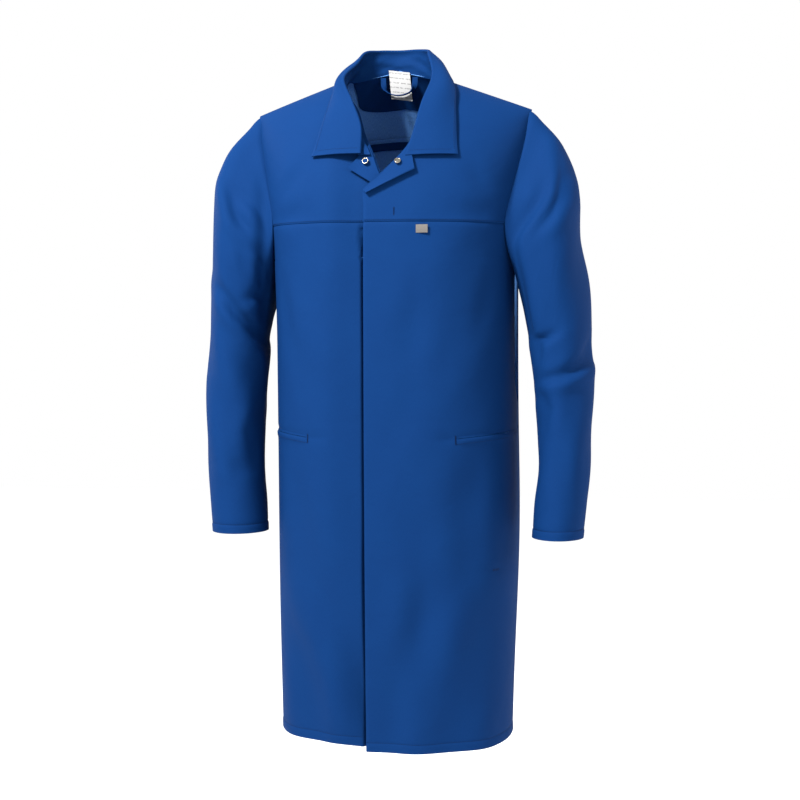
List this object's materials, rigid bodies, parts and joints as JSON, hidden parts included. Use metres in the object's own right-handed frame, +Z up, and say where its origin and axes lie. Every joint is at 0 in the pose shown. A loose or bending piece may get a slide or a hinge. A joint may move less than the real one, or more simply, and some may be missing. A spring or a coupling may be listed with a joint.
{
  "type": "lab coat",
  "caption": "Long-sleeved lab coat with a turn-down collar, concealed press-stud front, chest yoke, slanted side pockets and a hanger loop.",
  "frame": {"origin": "middle of the neck base, level with the tops of the shoulder seams", "axes": "+X to the wearer's left, -Y out of the front, +Z up along the body"},
  "size_m": [0.6182, 0.2811, 1.0639],
  "materials": {
    "cloth_blue": "royal blue polyester-cotton twill, matt",
    "cloth_inside": "wrong side of the same twill, greyer",
    "stud_metal": "nickel-plated press stud",
    "label_white": "white woven satin label",
    "tag_grey": "warm grey woven tab"
  },
  "bodies": {
    "root": {"back_hem": "cloth_inside", "back_neck_facing": "cloth_inside", "back_panel": "cloth_blue", "back_yoke": "cloth_blue", "back_yoke_seam_tape": "cloth_inside", "collar_fall_back": "cloth_blue", "collar_stand": "cloth_blue", "fly_strip_upper": "cloth_inside", "front_stud_post_1": "stud_metal", "front_stud_post_2": "stud_metal", "front_stud_post_3": "stud_metal", "front_stud_post_4": "stud_metal", "front_stud_socket_1": "stud_metal", "front_stud_socket_2": "stud_metal", "left_collar_wing": "cloth_blue", "left_front_hem": "cloth_inside", "left_front_panel": "cloth_blue", "left_front_yoke": "cloth_blue", "left_lapel": "cloth_blue", "left_neck_stud": "stud_metal", "left_pocket_bag": "cloth_inside", "left_upper_facing": "cloth_inside", "right_collar_wing": "cloth_blue", "right_front_hem": "cloth_inside", "right_front_panel": "cloth_blue", "right_front_yoke": "cloth_blue", "right_lapel": "cloth_blue", "right_neck_stud": "stud_metal", "right_pocket_bag": "cloth_inside", "right_upper_facing": "cloth_inside"},
    "left_flap": {"left_front_flap": "cloth_blue", "left_lower_facing": "cloth_inside", "left_flap_hem": "cloth_inside", "fly_strip_lower": "cloth_inside", "front_stud_socket_3": "stud_metal", "front_stud_socket_4": "stud_metal", "front_stud_socket_5": "stud_metal", "front_stud_socket_6": "stud_metal"},
    "right_flap": {"right_front_flap": "cloth_blue", "right_lower_facing": "cloth_inside", "right_flap_hem": "cloth_inside", "front_stud_post_5": "stud_metal", "front_stud_post_6": "stud_metal"},
    "left_upper_arm": {"left_upper_sleeve": "cloth_blue"},
    "right_upper_arm": {"right_upper_sleeve": "cloth_blue"},
    "left_forearm": {"left_lower_sleeve": "cloth_blue", "left_cuff_hem": "cloth_inside", "left_cuff_placket": "cloth_inside", "left_cuff_stud": "stud_metal"},
    "right_forearm": {"right_lower_sleeve": "cloth_blue", "right_cuff_hem": "cloth_inside", "right_cuff_placket": "cloth_inside", "right_cuff_stud": "stud_metal"},
    "loop": {"hanger_loop": "cloth_blue"},
    "label": {"care_label": "label_white"},
    "tag": {"chest_tag": "tag_grey"}
  },
  "joints": [
    {"name": "left_front_open", "type": "hinge", "parent": "root", "child": "left_flap", "pos_m": [0.105, -0.11324, -1.021], "axis": [-0.1594, -0.0424, 0.9863], "range_deg": [0, 70]},
    {"name": "right_front_open", "type": "hinge", "parent": "root", "child": "right_flap", "pos_m": [-0.105, -0.11325, -1.021], "axis": [-0.2457, 0.0213, -0.9691], "range_deg": [0, 35]},
    {"name": "left_arm_raise", "type": "hinge", "parent": "root", "child": "left_upper_arm", "pos_m": [0.2154, 0.002, -0.0506], "axis": [0, -1, 0], "range_deg": [0, 30]},
    {"name": "right_arm_raise", "type": "hinge", "parent": "root", "child": "right_upper_arm", "pos_m": [-0.2154, 0.002, -0.0506], "axis": [0, 1, 0], "range_deg": [0, 30]},
    {"name": "left_elbow_bend", "type": "hinge", "parent": "left_upper_arm", "child": "left_forearm", "pos_m": [0.258, -0.069, -0.3998], "axis": [-1, 0, 0], "range_deg": [0, 60]},
    {"name": "right_elbow_bend", "type": "hinge", "parent": "right_upper_arm", "child": "right_forearm", "pos_m": [-0.258, -0.069, -0.3998], "axis": [-1, 0, 0], "range_deg": [0, 60]},
    {"name": "hanger_loop_swing", "type": "hinge", "parent": "root", "child": "loop", "pos_m": [0, 0.0469, 0.0102], "axis": [-1, 0, 0], "range_deg": [0, 150]},
    {"name": "care_label_swing", "type": "hinge", "parent": "root", "child": "label", "pos_m": [0, 0.0513, 0.0132], "axis": [-1, 0, 0], "range_deg": [0, 45]},
    {"name": "chest_tag_flip", "type": "hinge", "parent": "root", "child": "tag", "pos_m": [0.065, -0.1366, -0.2268], "axis": [-1, 0, 0], "range_deg": [0, 90]}
  ],
  "couplings": [
    {"joint": "right_front_open", "follows": "left_front_open", "ratio": 0.5},
    {"joint": "care_label_swing", "follows": "hanger_loop_swing", "ratio": 0.3}
  ]
}
